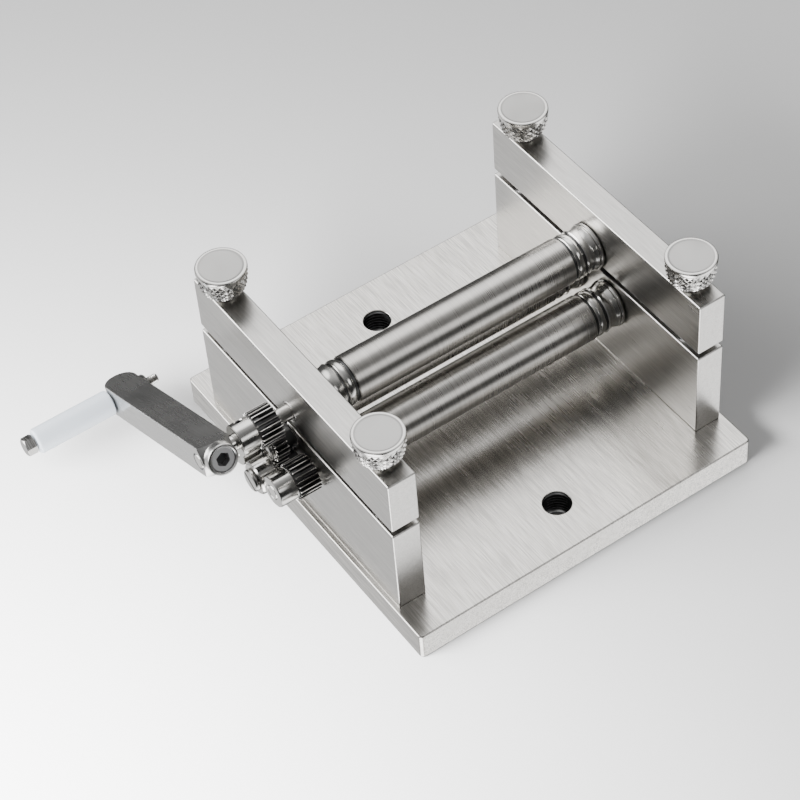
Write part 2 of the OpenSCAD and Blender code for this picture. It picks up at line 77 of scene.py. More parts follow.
def slab(low, high, edge, corner=0.0):
    """A block between two corners with broken edges, and rounder upright corners where asked."""
    bm = bmesh.new()
    bmesh.ops.create_cube(bm, size=1)
    bmesh.ops.scale(bm, vec=high - low, verts=bm.verts)
    bmesh.ops.translate(bm, vec=(low + high) / 2, verts=bm.verts)
    if corner:
        upright = [e for e in bm.edges if (e.verts[0].co - e.verts[1].co).normalized().z ** 2 > 0.9]
        bmesh.ops.bevel(bm, geom=upright, offset=corner, affect="EDGES", segments=6,
                        profile=0.5, material=-1)
    break_edges(bm, edge)
    return bm


def break_edges(bm, edge, least=40, segments=3):
    """Rounds every edge that turns by more than the least angle, in degrees."""
    sharp = [e for e in bm.edges if e.is_manifold and e.calc_face_angle() > math.radians(least)]
    bmesh.ops.bevel(bm, geom=sharp, offset=edge, affect="EDGES", segments=segments,
                    profile=0.5, material=-1, clamp_overlap=True)


def turned(profile, axis, at, edge=0.0, steps=96):
    """A solid turned about an axis through a point, from (station, radius) pairs along it."""
    bm = bmesh.new()
    points = [bm.verts.new(ALONG[axis] * s + ACROSS[axis] * r) for s, r in profile]
    wire = [bm.edges.new(pair) for pair in zip(points, points[1:])]
    bmesh.ops.spin(bm, geom=points + wire, cent=(0, 0, 0), axis=ALONG[axis],
                   angle=math.tau, steps=steps, use_merge=True)
    bmesh.ops.remove_doubles(bm, verts=bm.verts, dist=1e-6)
    bmesh.ops.recalc_face_normals(bm, faces=bm.faces)
    if edge:
        break_edges(bm, edge, segments=2)
    bmesh.ops.translate(bm, vec=at, verts=bm.verts)
    return bm


def flare(face, radius, edge, way):
    """A drill's mouth where it leaves a face towards + or -, so that the rim comes out round."""
    rim = [(face - way * edge * (1 - math.cos(a)), radius + edge * (1 - math.sin(a)))
           for a in (0, math.pi / 6, math.pi / 3, math.pi / 2)]
    over = (face + way * MM, radius + edge)
    return [(over[0], 0), over] + rim


def drill(axis, at, low, high, radius, edge=0.2 * MM, inside=()):
    """A cutter for a round hole through both faces, with any (station, radius) pairs between."""
    profile = flare(low, radius, edge, -1) + list(inside) + flare(high, radius, edge, 1)[::-1]
    return turned(profile, axis, at, steps=64)


def pin_drill(axis, at, low, high, radius):
    """A cutter for a plain hole, open where a station lies past the face, else with a floor."""
    return turned([(low, 0), (low, radius), (high, radius), (high, 0)], axis, at, steps=32)


def fitted(blank, tools, operation="DIFFERENCE"):
    """Cuts tools out of a blank, joins them to it, or keeps only what it shares with them."""
    things = []
    for bm in [blank, *tools]:
        mesh = bpy.data.meshes.new("shop")
        bm.to_mesh(mesh)
        bm.free()
        things.append(bpy.data.objects.new("shop", mesh))
        bpy.context.scene.collection.objects.link(things[-1])
    for tool in things[1:]:
        step = things[0].modifiers.new("step", "BOOLEAN")
        step.operation = operation
        step.solver = "EXACT"
        step.object = tool
    result = bmesh.new()
    result.from_object(things[0], bpy.context.evaluated_depsgraph_get())
    for thing in things:
        mesh = thing.data
        bpy.data.objects.remove(thing)
        bpy.data.meshes.remove(mesh)
    bmesh.ops.remove_doubles(result, verts=result.verts, dist=1e-6)
    return result


def piece(bm, name, body, material, smooth=35):
    """Makes an object of a bmesh: smooth but for its sharp edges, riding on a body of the frame."""
    mesh = bpy.data.meshes.new(name)
    bm.to_mesh(mesh)
    bm.free()
    mesh.shade_smooth()
    mesh.set_sharp_from_angle(angle=math.radians(smooth))
    thing = bpy.data.objects.new(name, mesh)
    bpy.context.scene.collection.objects.link(thing)
    thing.data.materials.append(material)
    weighted = thing.modifiers.new("flat faces stay flat", "WEIGHTED_NORMAL")
    weighted.keep_sharp = True
    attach(thing, body)
    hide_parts(name)
    return thing


def patch(thing, material, where):
    """Gives one more material to the faces whose centre and outward normal pass a test."""
    thing.data.materials.append(material)
    for face in thing.data.polygons:
        if where(face.center, face.normal):
            face.material_index = len(thing.data.materials) - 1


class Wire:
    """A socket of a material's nodes, so that shader maths is written as an expression."""

    def __init__(self, tree, socket=None):
        self.tree = tree
        self.socket = socket

    def add(self, kind, settings=None, inputs=None, output=0):
        """A new node: its settings first, then its sockets' values or wires."""
        node = self.tree.nodes.new("ShaderNode" + kind)
        for name, value in (settings or {}).items():
            if name == "stops":
                while len(node.color_ramp.elements) < len(value):
                    node.color_ramp.elements.new(0.5)
                for stop, (place, level) in zip(node.color_ramp.elements, value):
                    stop.position = place
                    stop.color = (level, level, level, 1)
            else:
                setattr(node, name, value)
        for name, value in (inputs or {}).items():
            if isinstance(value, Wire):
                self.tree.links.new(value.socket, node.inputs[name])
            else:
                node.inputs[name].default_value = value
        return Wire(self.tree, node.outputs[output])

    def math(self, operation, other):
        return self.add("Math", {"operation": operation}, {0: self, 1: other})

    def __add__(self, other):
        return self.math("ADD", other)

    __radd__ = __add__

    def __mul__(self, other):
        return self.math("MULTIPLY", other)

    __rmul__ = __mul__

    def __sub__(self, other):
        return self.math("SUBTRACT", other)

    def __rsub__(self, other):
        return (self * -1) + other


def streaks(place, size, detail=2.0):
    """Noise about 0, drawn out to the given size along each axis, in metres."""
    spread = place.add("Mapping", inputs={"Vector": place, "Scale": [1 / s for s in size]})
    noise = spread.add("TexNoise", inputs={"Vector": spread, "Scale": 1.0, "Detail": detail,
                                           "Roughness": 0.6})
    return noise - 0.5


def mixed(share, one, other):
    """A colour between two, by a wire that gives the share of the second."""
    return share.add("Mix", {"data_type": "RGBA"}, {0: share, 6: one, 7: other}, 2)


def satin(name, tint, rough, grain, deep=0.35, cloud=0.3, line=0.5, tone=1.0, tilt=0.0):
    """Bare metal brushed along or round one axis: fine lines over broad strokes over clouds."""
    material = bpy.data.materials.new(name)
    material.use_nodes = True
    tree = material.node_tree
    shader = tree.nodes["Principled BSDF"]
    shader.inputs["Metallic"].default_value = 1.0
    place = Wire(tree).add("TexCoord", output="Object")
    if tilt:
        place = place.add("Mapping", inputs={"Vector": place, "Rotation": (tilt, 0, 0)})
    long = {"x": (1, 0, 0), "y": (0, 1, 0), "z": (0, 0, 1), "round x": (0, 1, 1),
            "round z": (1, 1, 0)}[grain]

    def drawn(across, along):
        return [along if way else across for way in long]

    stroke = 60 * MM if grain.startswith("round") else 9 * MM
    fine = streaks(place, drawn(0.42 * MM, stroke), 1.0)
    broad = streaks(place, drawn(1.5 * MM, stroke * 2))
    clouds = streaks(place, (18 * MM,) * 3)
    level = fine * tone + broad * (tone * 0.6) + clouds * cloud + 0.5
    pale = [min(1.0, c * 1.22) for c in tint] + [1]
    dark = [c * 0.78 for c in tint] + [1]
    colour = mixed(level, dark, pale)
    roughness = fine * line + broad * (line * 0.5) + clouds * (cloud * 0.5) + rough
    height = fine * 0.7 + broad * 0.3
    bump = height.add("Bump", inputs={"Strength": deep, "Distance": 0.02 * MM,
                                      "Height": height})
    tree.links.new(colour.socket, shader.inputs["Base Color"])
    tree.links.new(roughness.socket, shader.inputs["Roughness"])
    tree.links.new(bump.socket, shader.inputs["Normal"])
    return material


low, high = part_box("base_plate")
holes = next(m for m in frame["record"]["mounts"] if m["name"] == "mount_holes")["dims"]
hole_y = holes["spacing_y_mm"] / 2 * MM
hole_r = holes["hole_r_mm"] * MM
thread_pitch = 1.25 * MM
thread_deep = 0.35 * MM
thread = []
station = low.z + 1.2 * MM
while station + thread_pitch < high.z - 0.6 * MM:
    thread += [(station, hole_r), (station + 0.5 * thread_pitch, hole_r + thread_deep)]
    station += thread_pitch
thread.append((station, hole_r))
block_low, block_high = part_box("left_block")
stand_x = -(block_low.x + block_high.x) / 2
screws_low, screws_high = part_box("block_screws")
screw_head_r = screws_high.x - stand_x
screw_y = screws_high.y - screw_head_r
screw_r = 2.5 * MM
screw_play = 0.3 * MM
sink_z = 5.4 * MM
dowels_low, dowels_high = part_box("block_dowels")
dowel_r = dowels_high.x - stand_x
dowel_y = dowels_high.y - dowel_r
drills = [drill("z", (0, way * hole_y, 0), low.z, high.z, hole_r, thread_deep, thread)
          for way in (-1, 1)]
for side in (-1, 1):
    for way in (-1, 1):
        sunk = flare(low.z, screw_head_r + screw_play, 0.3 * MM, -1) + [
            (sink_z, screw_head_r + screw_play), (sink_z, screw_r + screw_play),
            (high.z + MM, screw_r + screw_play), (high.z + MM, 0)]
        drills.append(turned(sunk, "z", (side * stand_x, way * screw_y, 0), steps=48))
        drills.append(pin_drill("z", (side * stand_x, way * dowel_y, 0), dowels_low.z,
                                high.z + MM, dowel_r))
plate_steel = satin("plate steel", (0.51, 0.495, 0.47), 0.25, "y", deep=0.04, cloud=0.4,
                    line=0.05, tone=2.2)
plate = piece(fitted(slab(low, high, 0.5 * MM, 1.5 * MM), drills), "base_plate", "base",
              plate_steel)
# Painted shade: the threads inside the two tapped holes get a near-black material, for the shade down in the
# holes.
tapped_hole_shade = satin("tapped hole painted shade", (0.04, 0.04, 0.04), 0.45, "round z", tone=0.5)
patch(plate, tapped_hole_shade,
      lambda spot, out: math.hypot(spot.x, abs(spot.y) - hole_y) < hole_r + 0.5 * MM
      and spot.z < high.z - thread_deep)

# Blocks and bars: ground stainless flats, brushed along their length, broken bright at the
# edges. The blocks are screwed and doweled to the plate, and the bars ride above an open slit.
axis_at = {j["child"]: Vector(j["pos_m"]) for j in frame["joints"] if "pos_m" in j}
thumb_at = {name: at for name, at in axis_at.items() if name.startswith("thumb_screw")}
thumb_y = max(at.y for at in thumb_at.values())
bush_r = 3.5 * MM
pocket_r = 3.8 * MM
pocket_deep = 5 * MM
thumb_tap_r = 2.55 * MM
thumb_tap_z = 20 * MM
thumb_way_r = 2.8 * MM
stand_steel = satin("stand steel", (0.49, 0.48, 0.462), 0.30, "y", deep=0.04, cloud=0.2,
                    line=0.05, tone=1.2)
for name, body in (("left_block", "base"), ("right_block", "base"),
                   ("left_bar", "bars"), ("right_bar", "bars")):
    low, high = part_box(name)
    mid_x = (low.x + high.x) / 2
    if body == "base":
        bores = [axis_at["front_roller"], axis_at["rear_roller"]]
    else:
        bores = [axis_at["top_roller"]]
    drills = [drill("x", (0, at.y, at.z), low.x, high.x, bush_r, 0.15 * MM) for at in bores]
    for way in (-1, 1):
        at = (mid_x, way * thumb_y, 0)
        if body == "base":
            well = [(thumb_tap_z, 0), (thumb_tap_z, thumb_tap_r),
                    (high.z - pocket_deep, thumb_tap_r), (high.z - pocket_deep, pocket_r)]
            drills.append(turned(well + flare(high.z, pocket_r, 0.2 * MM, 1)[::-1], "z", at,
                                 steps=48))
            for y, r, deep in ((screw_y, screw_r, 13 * MM), (dowel_y, dowel_r, 6.5 * MM)):
                drills.append(pin_drill("z", (mid_x, way * y, 0), low.z - MM, low.z + deep, r))
        else:
            well = [(low.z + pocket_deep, pocket_r), (low.z + pocket_deep, thumb_way_r),
                    (high.z, thumb_way_r), (high.z + MM, thumb_way_r), (high.z + MM, 0)]
            drills.append(turned(flare(low.z, pocket_r, 0.2 * MM, -1) + well, "z", at, steps=48))
    if name == "left_block":
        for idler, r in (("low_idler", 1.63 * MM), ("high_idler", 1.23 * MM)):
            drills.append(pin_drill("x", (0, axis_at[idler].y, axis_at[idler].z), low.x - MM,
                                    low.x + 8 * MM, r))
    piece(fitted(slab(low, high, 0.5 * MM), drills), name, body, stand_steel)

# Bushes: turned rings of sintered bearing iron, pressed in flush with both faces of their
# stand, with a lead at each end of the bore.
bush_steel = satin("bush steel", (0.42, 0.41, 0.40), 0.36, "round x")
bush_half = 4.8 * MM
bush_bore_r = 2.55 * MM


def together(parts):
    """Several bmeshes as one, for the like pieces of one node."""
    whole = bmesh.new()
    for part in parts:
        mesh = bpy.data.meshes.new("shop")
        part.to_mesh(mesh)
        whole.from_mesh(mesh)
        part.free()
        bpy.data.meshes.remove(mesh)
    return whole


for name, body, bores in (("block_bushes", "base", ("front_roller", "rear_roller")),
                          ("bar_bushes", "bars", ("top_roller",))):
    rings = []
    for side in (-1, 1):
        low, high = side * stand_x - bush_half, side * stand_x + bush_half
        for bore in bores:
            wall = [(low, 2.9 * MM), (low, 3.3 * MM), (low + 0.2 * MM, bush_r),
                    (high - 0.2 * MM, bush_r), (high, 3.3 * MM), (high, 2.9 * MM),
                    (high - 0.35 * MM, bush_bore_r), (low + 0.35 * MM, bush_bore_r),
                    (low, 2.9 * MM)]
            rings.append(turned(wall, "x", (0, axis_at[bore].y, axis_at[bore].z), steps=64))
    piece(together(rings), name, body, bush_steel)

# Block screws: four socket head cap screws in dark oxide, up through the plate from beneath,
# each with a plain turned head and a broached hexagon socket.
dark_steel = satin("dark oxide", (0.12, 0.12, 0.125), 0.34, "round z", tone=0.5)


def hexagon(axis, at, low, high, flats):
    """A hexagon bar between two stations, for heads, nuts and the sockets cut into screws."""
    bm = bmesh.new()
    bmesh.ops.create_circle(bm, cap_ends=True, radius=flats / 2 / math.cos(math.pi / 6), segments=6)
    made = bmesh.ops.extrude_face_region(bm, geom=list(bm.faces))
    top = [v for v in made["geom"] if isinstance(v, bmesh.types.BMVert)]
    bmesh.ops.translate(bm, vec=(0, 0, high - low), verts=top)
    bmesh.ops.translate(bm, vec=(0, 0, low), verts=bm.verts)
    bmesh.ops.recalc_face_normals(bm, faces=bm.faces)
    stand = {"x": Matrix.Rotation(math.pi / 2, 3, "Y"), "y": Matrix.Rotation(-math.pi / 2, 3, "X"),
             "z": Matrix.Identity(3)}[axis]
    bmesh.ops.transform(bm, matrix=Matrix.Translation(at) @ stand.to_4x4(), verts=bm.verts)
    return bm


screws = []
foot = screws_low.z
neck = foot + 5 * MM
for side in (-1, 1):
    for way in (-1, 1):
        at = Vector((side * stand_x, way * screw_y, 0))
        blank = turned([(foot, 0), (foot, screw_head_r), (neck, screw_head_r), (neck, screw_r),
                        (screws_high.z, screw_r), (screws_high.z, 0)], "z", at, 0.3 * MM, 48)
        screws.append(fitted(blank, [hexagon("z", at, foot - MM, foot + 2.5 * MM, 4 * MM)]))
piece(together(screws), "block_screws", "base", dark_steel)

# Dowels: ground steel pins, pressed half into the plate and half into each block. They are
# wholly hidden, so the frame's own pins stay and only get their finish.
pin_steel = satin("pin steel", (0.58, 0.575, 0.565), 0.22, "round z", tone=0.5)


def refinish(node, material):
    """Gives a node of the frame, which keeps its own mesh, a better material."""
    frame["nodes"][node].data.materials.clear()
    frame["nodes"][node].data.materials.append(material)


refinish("block_dowels", pin_steel)

# Lifting springs: five turns of drawn wire round each thumb screw, standing in the pockets of
# block and bar. They show in the slit and carry the bars.
spring_low, spring_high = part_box("lift_springs")
wire_r = 0.4 * MM
coil_r = spring_high.x - stand_x - wire_r
coil_turns = 5
coil_steps = 24
wire_steel = satin("spring wire", (0.52, 0.52, 0.53), 0.28, "round z", tone=0.5)
coils = []
for at in thumb_at.values():
    coil = bmesh.new()
    ring = bmesh.ops.create_circle(coil, cap_ends=True, radius=wire_r, segments=10)["verts"]
    bmesh.ops.rotate(coil, cent=(0, 0, 0), matrix=Matrix.Rotation(math.pi / 2, 3, "X"), verts=ring)
    bmesh.ops.translate(coil, vec=(coil_r, 0, spring_low.z + wire_r), verts=ring)
    climb = (spring_high.z - spring_low.z - 2 * wire_r) / (coil_turns * coil_steps)
    bmesh.ops.spin(coil, geom=list(coil.faces), cent=(0, 0, 0), axis=(0, 0, 1),
                   dvec=(0, 0, climb), angle=math.tau * coil_turns, steps=coil_turns * coil_steps)
    bmesh.ops.recalc_face_normals(coil, faces=coil.faces)
    bmesh.ops.translate(coil, vec=(at.x, at.y, 0), verts=coil.verts)
    coils.append(coil)
springs = piece(together(coils), "lift_springs", "base", wire_steel, smooth=60)
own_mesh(springs)

# Rollers: turned and ground bars, satin over their working length. At each end a polished ring
# stands between two grooves, then a polished band and a flange. Journals run on into the bushes.
roller_r = 7.75 * MM
flange_r = 8 * MM
journal_r = 2.5 * MM
ring_in = 40.3 * MM
end = 50.9 * MM
shaft_flat = -journal_r + 0.4 * MM
flat_l = 10.6 * MM
roller_steel = satin("roller steel", (0.47, 0.455, 0.43), 0.28, "round x", deep=0.04, cloud=0.2,
                     line=0.04, tone=1.1)
bright_steel = satin("polished steel", (0.66, 0.65, 0.625), 0.17, "round x", deep=0.05,
                     cloud=0.1, line=0.1, tone=0.4)
# Near-black painted shade for the grooves, bores, screw socket and knurl valleys, where the steel lies in shade.
groove_shade = satin("groove painted shade", (0.10, 0.10, 0.10), 0.40, "round x", tone=0.5)


def half_roller():
    """Profile of one end of a roller, from its working length out to the flange's face."""
    low_r = roller_r - 0.7 * MM
    band = end - 6.2 * MM
    bead = [(ring_in + (0.8 + 1.45 * (1 - math.cos(a))) * MM, low_r + 0.65 * MM * math.sin(a))
            for a in (math.pi * k / 10 for k in range(11))]
    cove = [(band + (0.35 + 0.45 * k) * MM, roller_r - 0.5 * MM * math.sin(math.pi * k / 9))
            for k in range(10)]
    return [(ring_in - 0.5 * MM, roller_r), (ring_in - 0.15 * MM, roller_r - 0.15 * MM),
            (ring_in, roller_r - 0.4 * MM), (ring_in + 0.05 * MM, low_r), *bead,
            (band - 0.05 * MM, low_r), (band, roller_r - 0.3 * MM), *cove,
            (end - 1.75 * MM, roller_r), (end - 1.7 * MM, roller_r - 0.3 * MM),
            (end - 1.5 * MM, roller_r - 0.3 * MM), (end - 1.4 * MM, flange_r - 0.2 * MM),
            (end - 1.1 * MM, flange_r), (end - 0.4 * MM, flange_r), (end, flange_r - 0.3 * MM)]


half = half_roller()
for name in ("top_roller", "front_roller", "rear_roller"):
    low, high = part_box(name)
    at = Vector((0, axis_at[name].y, axis_at[name].z))
    profile = [(low.x, 0), (low.x, journal_r - 0.3 * MM), (low.x + 0.3 * MM, journal_r),
               (-end, journal_r)]
    profile += [(-x, r) for x, r in half[::-1]] + half
    profile += [(end, journal_r), (high.x - 0.3 * MM, journal_r), (high.x, journal_r - 0.3 * MM),
                (high.x, 0)]
    roller = turned(profile, "x", at, steps=128)
    if name == "top_roller":
        reach = axis_at["grip"] - axis_at["top_roller"]
        reach.x = 0
        droop = math.atan2(reach.z, reach.y)
        flat = slab(Vector((low.x - MM, -6 * MM, -6 * MM)),
                    Vector((low.x + flat_l, shaft_flat, 6 * MM)), 0.1 * MM)
        bmesh.ops.transform(flat, matrix=Matrix.Translation(at) @ Matrix.Rotation(droop, 4, "X"),
                            verts=flat.verts)
        roller = fitted(roller, [flat])
    shaft = piece(roller, name, name, roller_steel)
    patch(shaft, bright_steel, lambda spot, out: abs(spot.x) > ring_in - 0.3 * MM)
    # Painted shade: the grooves at each end get the near-black material.
    patch(shaft, groove_shade, lambda spot, out: ring_in < abs(spot.x) < end - 1.4 * MM
          and math.hypot(spot.y - at.y, spot.z - at.z) < roller_r - 0.55 * MM)

# Gears: three equal cut gears of bright steel, each with a turned hub that a socket set screw
# locks to its journal. The top one stands further out than the two below.
gear_steel = satin("gear steel", (0.60, 0.59, 0.57), 0.16, "round x", deep=0.05, cloud=0.1,
                   line=0.1, tone=0.4)
# Near-black painted shade for the gaps between the gear teeth.
tooth_gap_shade = satin("tooth gap painted shade", (0.10, 0.10, 0.10), 0.45, "round x", tone=0.5)
tooth_root_w = 0.76 * MM
tooth_tip_w = 0.30 * MM
tooth_root = 0.8 * MM
tooth_tip = 0.5 * MM


def toothed(count, pitch_r, first, low, high, at):
    """A toothed wheel along x: one tooth's outline spun round, filled, drawn out, chamfered."""
    bm = bmesh.new()
    root_r = pitch_r - tooth_root
    tip_r = pitch_r + tooth_tip
    root = tooth_root_w / 2 / root_r
    tip = tooth_tip_w / 2 / tip_r
    outline = [(root_r, -root), (tip_r - 0.12 * MM, -tip * 1.4), (tip_r, -tip * 0.7),
               (tip_r, tip * 0.7), (tip_r - 0.12 * MM, tip * 1.4), (root_r, root),
               (root_r - 0.05 * MM, math.pi / count), (root_r, math.tau / count - root)]
    points = [bm.verts.new((0, r * math.cos(first + a), r * math.sin(first + a)))
              for r, a in outline]
    wire = [bm.edges.new(pair) for pair in zip(points, points[1:])]
    bmesh.ops.spin(bm, geom=points + wire, cent=(0, 0, 0), axis=(1, 0, 0), angle=math.tau,
                   steps=count, use_duplicate=True)
    bmesh.ops.remove_doubles(bm, verts=bm.verts, dist=1e-6)
    face = bmesh.ops.contextual_create(bm, geom=list(bm.edges))["faces"]
    made = bmesh.ops.extrude_face_region(bm, geom=face)
    far = [v for v in made["geom"] if isinstance(v, bmesh.types.BMVert)]
    bmesh.ops.translate(bm, vec=(high - low, 0, 0), verts=far)
    bmesh.ops.translate(bm, vec=(low, 0, 0), verts=bm.verts)
    bmesh.ops.recalc_face_normals(bm, faces=bm.faces)
    ends = [e for e in bm.edges if abs(e.verts[0].co.x - e.verts[1].co.x) < 1e-7]
    bmesh.ops.bevel(bm, geom=ends, offset=0.12 * MM, affect="EDGES", segments=1, profile=0.5,
                    material=-1, clamp_overlap=True)
    bmesh.ops.translate(bm, vec=(0, at.y, at.z), verts=bm.verts)
    return bm


def paint_gap_shade(gear, at, pitch_r, from_x):
    """Paints the gaps between a gear's teeth, from a station inwards, near-black as shade."""
    patch(gear, tooth_gap_shade, lambda spot, out: spot.x > from_x and abs(out.x) < 0.5
          and math.hypot(spot.y - at.y, spot.z - at.z) < pitch_r + 0.1 * MM)


hub_r = 5.2 * MM
hub_l = 6.5 * MM
lock_r = 1.25 * MM
shaft_way_r = 2.53 * MM
idler_drop = axis_at["front_roller"].z - axis_at["low_idler"].z
half_spread = (axis_at["rear_roller"].y - axis_at["front_roller"].y) / 2
pitch_r = math.hypot(half_spread, idler_drop) / 2
gear_teeth = 22
front_line = math.atan2(-idler_drop, half_spread)
rear_line = math.atan2(-idler_drop, -half_spread)
half_tooth = math.pi / gear_teeth
first_tooth = {"drive_gear": -math.pi / 2,
               "front_gear": 2 * front_line + math.pi / 2 + half_tooth,
               "rear_gear": 2 * rear_line + math.pi / 2 + half_tooth}
screw_angle = {"drive_gear": 60, "front_gear": 250, "rear_gear": 290}
for name, body in (("drive_gear", "top_roller"), ("front_gear", "front_roller"),
                   ("rear_gear", "rear_roller")):
    low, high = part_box(name)
    at = Vector((0, axis_at[body].y, axis_at[body].z))
    teeth_low = low.x + hub_l
    wheel = toothed(gear_teeth, pitch_r, first_tooth[name], teeth_low, high.x, at)
    hub = turned([(low.x, 0), (low.x, hub_r - 0.45 * MM), (low.x + 0.15 * MM, hub_r - 0.15 * MM),
                  (low.x + 0.45 * MM, hub_r), (teeth_low - 0.9 * MM, hub_r),
                  (teeth_low - 0.8 * MM, hub_r - 0.15 * MM),
                  (teeth_low - 0.5 * MM, hub_r - 0.15 * MM), (teeth_low - 0.4 * MM, hub_r),
                  (teeth_low + 2 * MM, hub_r), (teeth_low + 2 * MM, 0)], "x", at, steps=72)
    wheel = fitted(wheel, [hub], "UNION")
    mid = Vector(((low.x + teeth_low) / 2, at.y, at.z))
    outward = Matrix.Rotation(math.radians(screw_angle[name]), 4, "X") @ Vector((0, 1, 0))
    aim = Matrix.Translation(mid) @ outward.to_track_quat("Z", "X").to_matrix().to_4x4()
    hole = turned([(0, 0), (0, lock_r + 0.03 * MM), (hub_r - 0.25 * MM, lock_r + 0.03 * MM),
                   (hub_r + 0.2 * MM, 1.7 * MM), (hub_r + MM, 1.7 * MM), (hub_r + MM, 0)],
                  "z", (0, 0, 0), steps=24)
    bmesh.ops.transform(hole, matrix=aim, verts=hole.verts)
    bore = drill("x", (0, at.y, at.z), low.x, high.x, shaft_way_r)
    gear = piece(fitted(wheel, [bore, hole]), name, body, gear_steel)
    paint_gap_shade(gear, at, pitch_r, teeth_low + 0.2 * MM)
    lock = turned([(2.55 * MM, 0), (2.55 * MM, 0.9 * MM), (2.9 * MM, lock_r),
                   (hub_r - 0.45 * MM, lock_r), (hub_r - 0.3 * MM, 1.1 * MM),
                   (hub_r - 0.3 * MM, 0)], "z", (0, 0, 0), steps=24)
    lock = fitted(lock, [hexagon("z", Vector((0, 0, 0)), 3.9 * MM, 7 * MM, 1.3 * MM)])
    bmesh.ops.transform(lock, matrix=aim, verts=lock.verts)
    piece(lock, name + "_screw", body, dark_steel)

# Idlers: the low one turns both lower rollers alike and the high one takes the turn from the
# drive gear. Each is a cut gear that runs on a slotted shoulder stud screwed into the block,
# with a thrust washer behind it.
low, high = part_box("low_idler")
at = Vector((0, axis_at["low_idler"].y, axis_at["low_idler"].z))
teeth_low, teeth_high = -68.7 * MM, -64.7 * MM
neck_under = 0.9 * MM
boss_r = 5.4 * MM
groove_r = boss_r - 0.3 * MM
wheel = toothed(gear_teeth, pitch_r, math.pi / 2, teeth_low, teeth_high, at)
neck_x = teeth_low - 0.6 * MM
neck_r = pitch_r - neck_under
neck = turned([(neck_x, 0), (neck_x, neck_r), (high.x, neck_r), (high.x, 0)],
              "x", at, 0.1 * MM, 72)
boss = turned([(low.x, 0), (low.x, boss_r - 0.5 * MM), (low.x + 0.5 * MM, boss_r),
               (neck_x - 0.6 * MM, boss_r), (neck_x - 0.3 * MM, groove_r), (neck_x, groove_r),
               (neck_x + 0.3 * MM, groove_r), (neck_x + 0.3 * MM, 0)], "x", at, steps=72)
wheel = fitted(wheel, [neck, boss], "UNION")
wheel = fitted(wheel, [drill("x", at, low.x, high.x, 2.05 * MM)])
gear = piece(wheel, "low_idler", "low_idler", gear_steel)
paint_gap_shade(gear, at, pitch_r, teeth_low + 0.2 * MM)
low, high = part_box("high_idler")
at = Vector((0, axis_at["high_idler"].y, axis_at["high_idler"].z))
high_teeth = 18
high_pitch_r = pitch_r * high_teeth / gear_teeth
wheel = toothed(high_teeth, high_pitch_r, math.pi / 2 + math.pi / high_teeth, low.x,
                teeth_high, at)
neck_x = teeth_high - 0.3 * MM
neck_r = high_pitch_r - neck_under
neck = turned([(neck_x, 0), (neck_x, neck_r), (high.x, neck_r), (high.x, 0)],
              "x", at, 0.1 * MM, 72)
wheel = fitted(wheel, [neck], "UNION")
wheel = fitted(wheel, [drill("x", at, low.x, high.x, 1.65 * MM)])
gear = piece(wheel, "high_idler", "high_idler", gear_steel)
paint_gap_shade(gear, at, high_pitch_r, low.x)
stud_steel = satin("fastener steel", (0.58, 0.57, 0.555), 0.22, "round x", tone=0.5)
for name, idler, stud_r, head_r in (("low_idler_stud", "low_idler", 2 * MM, 3.7 * MM),
                                    ("high_idler_stud", "high_idler", 1.6 * MM, 3 * MM)):
    low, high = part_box(name)
    at = Vector((0, axis_at[idler].y, axis_at[idler].z))
    under = low.x + 1.2 * MM
    tail_r = stud_r - 0.4 * MM
    blank = turned([(low.x, 0), (low.x, head_r - 0.5 * MM),
                    (low.x + 0.15 * MM, head_r - 0.18 * MM), (low.x + 0.5 * MM, head_r),
                    (under, head_r), (under, stud_r), (block_low.x, stud_r),
                    (block_low.x, tail_r), (high.x, tail_r), (high.x, 0)], "x", at, steps=64)
    slot = slab(Vector((low.x - MM, -head_r * 2, -0.5 * MM)),
                Vector((low.x + 0.72 * MM, head_r * 2, 0.5 * MM)), 0.05 * MM)
    bmesh.ops.transform(slot, matrix=Matrix.Translation(at)
                        @ Matrix.Rotation(math.radians(35), 4, "X"), verts=slot.verts)
    piece(fitted(blank, [slot]), name, "base", stud_steel)
refinish("idler_washers", stud_steel)

# Crank arm: a ground square bar with a half-round nose at the handle. Its near end is turned
# down round, which leaves an arc on each face, and bored for the clamping screw.
arm_low, arm_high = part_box("crank_arm")
arm_mid = (arm_low.x + arm_high.x) / 2
arm_half = (arm_high.x - arm_low.x) / 2
arm_rise = 5 * MM
near_end = -6.5 * MM
near_r = 4.98 * MM
clear_r = 7.6 * MM
crank_steel = satin("crank steel", (0.60, 0.595, 0.585), 0.27, "y", deep=0.02, cloud=0.2,
                    line=0.03, tone=0.6, tilt=-droop)
crank_place = (Matrix.Translation((0, axis_at["top_roller"].y, axis_at["top_roller"].z))
               @ Matrix.Rotation(droop, 4, "X"))
plan = bmesh.new()
nose_y = reach.length - 0.1 * MM
start = plan.verts.new((arm_mid + arm_half, nose_y, -arm_rise))
nose = bmesh.ops.spin(plan, geom=[start], cent=(arm_mid, nose_y, -arm_rise),
                      axis=(0, 0, 1), angle=math.pi, steps=24)["geom_last"]
last = next(v for v in nose if isinstance(v, bmesh.types.BMVert))
heel = [plan.verts.new((arm_mid - arm_half, near_end - MM, -arm_rise)),
        plan.verts.new((arm_mid + arm_half, near_end - MM, -arm_rise))]
plan.edges.new((last, heel[0]))
plan.edges.new(heel)
plan.edges.new((heel[1], start))
sole = bmesh.ops.contextual_create(plan, geom=list(plan.edges))["faces"]
made = bmesh.ops.extrude_face_region(plan, geom=sole)
bmesh.ops.translate(plan, vec=(0, 0, 2 * arm_rise),
                    verts=[v for v in made["geom"] if isinstance(v, bmesh.types.BMVert)])
bmesh.ops.recalc_face_normals(plan, faces=plan.faces)
break_edges(plan, 0.4 * MM)
